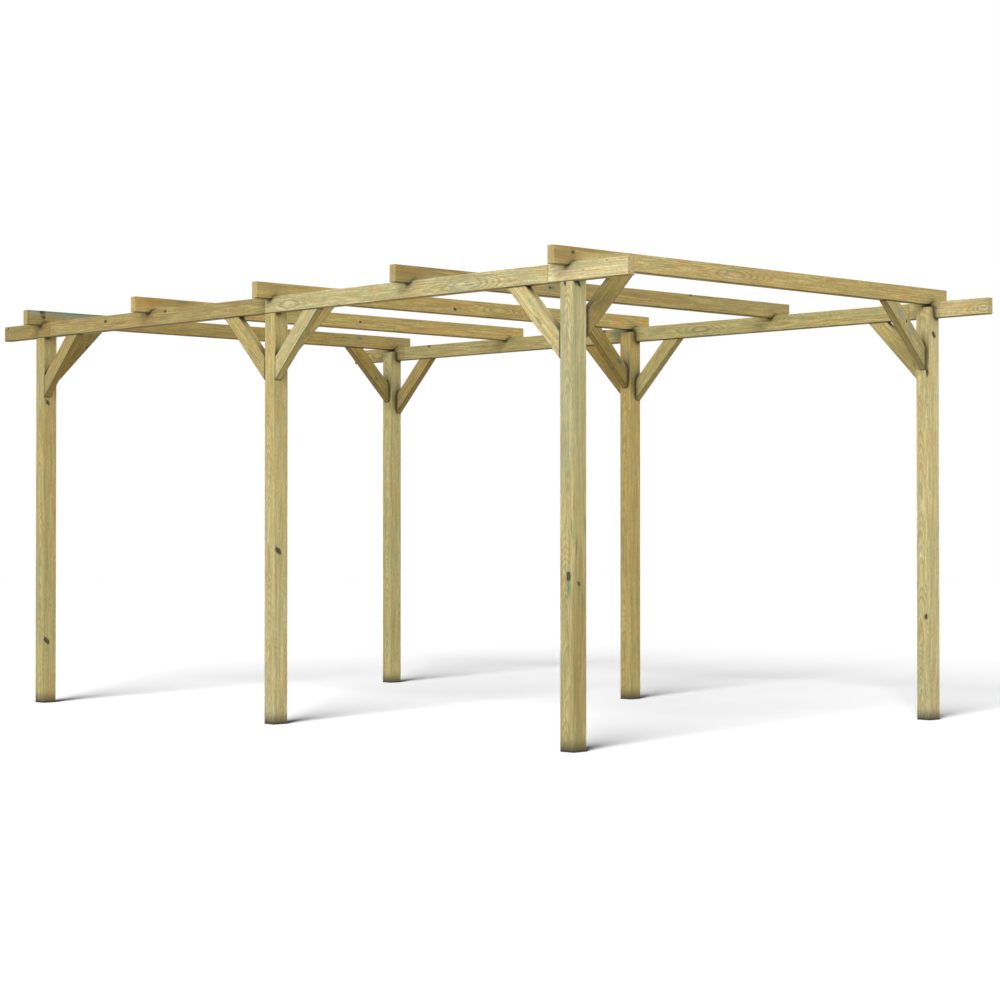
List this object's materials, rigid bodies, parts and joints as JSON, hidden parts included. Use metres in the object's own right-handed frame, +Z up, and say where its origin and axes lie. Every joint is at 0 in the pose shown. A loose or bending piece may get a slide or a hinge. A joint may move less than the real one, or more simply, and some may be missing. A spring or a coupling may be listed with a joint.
{
  "type": "garden pergola",
  "caption": "Free-standing open wooden pergola: square posts carry long edge beams crossed by notched rafters, with diagonal knee braces at every post top.",
  "frame": {"origin": "on the ground, under the middle of the frame", "axes": "+X along the beams towards the right end, +Y along the rafters towards the back, +Z up"},
  "size_m": [5.33, 3.1, 2.39],
  "materials": {
    "post_timber": "planed pressure-treated softwood, matt, pale yellow-green",
    "beam_timber": "planed pressure-treated softwood, matt, pale yellow-green",
    "rafter_timber": "planed pressure-treated softwood, matt, ochre with orange streaks",
    "brace_timber": "planed pressure-treated softwood, matt, yellow-green with grey-green marks"
  },
  "bodies": {
    "root": {"post_front_left": "post_timber", "post_front_middle": "post_timber", "post_front_right": "post_timber", "post_back_left": "post_timber", "post_back_middle": "post_timber", "post_back_right": "post_timber", "beam_front_left": "beam_timber", "beam_front_right": "beam_timber", "beam_back_left": "beam_timber", "beam_back_right": "beam_timber", "rafter_1": "rafter_timber", "rafter_2": "rafter_timber", "rafter_3": "rafter_timber", "rafter_4": "rafter_timber", "rafter_5": "rafter_timber", "brace_front_1": "brace_timber", "brace_front_2": "brace_timber", "brace_front_3": "brace_timber", "brace_front_4": "brace_timber", "cross_brace_front_left": "brace_timber", "cross_brace_front_middle": "brace_timber", "cross_brace_front_right": "brace_timber", "brace_back_1": "brace_timber", "brace_back_2": "brace_timber", "brace_back_3": "brace_timber", "brace_back_4": "brace_timber", "cross_brace_back_left": "brace_timber", "cross_brace_back_middle": "brace_timber", "cross_brace_back_right": "brace_timber"}
  },
  "joints": []
}
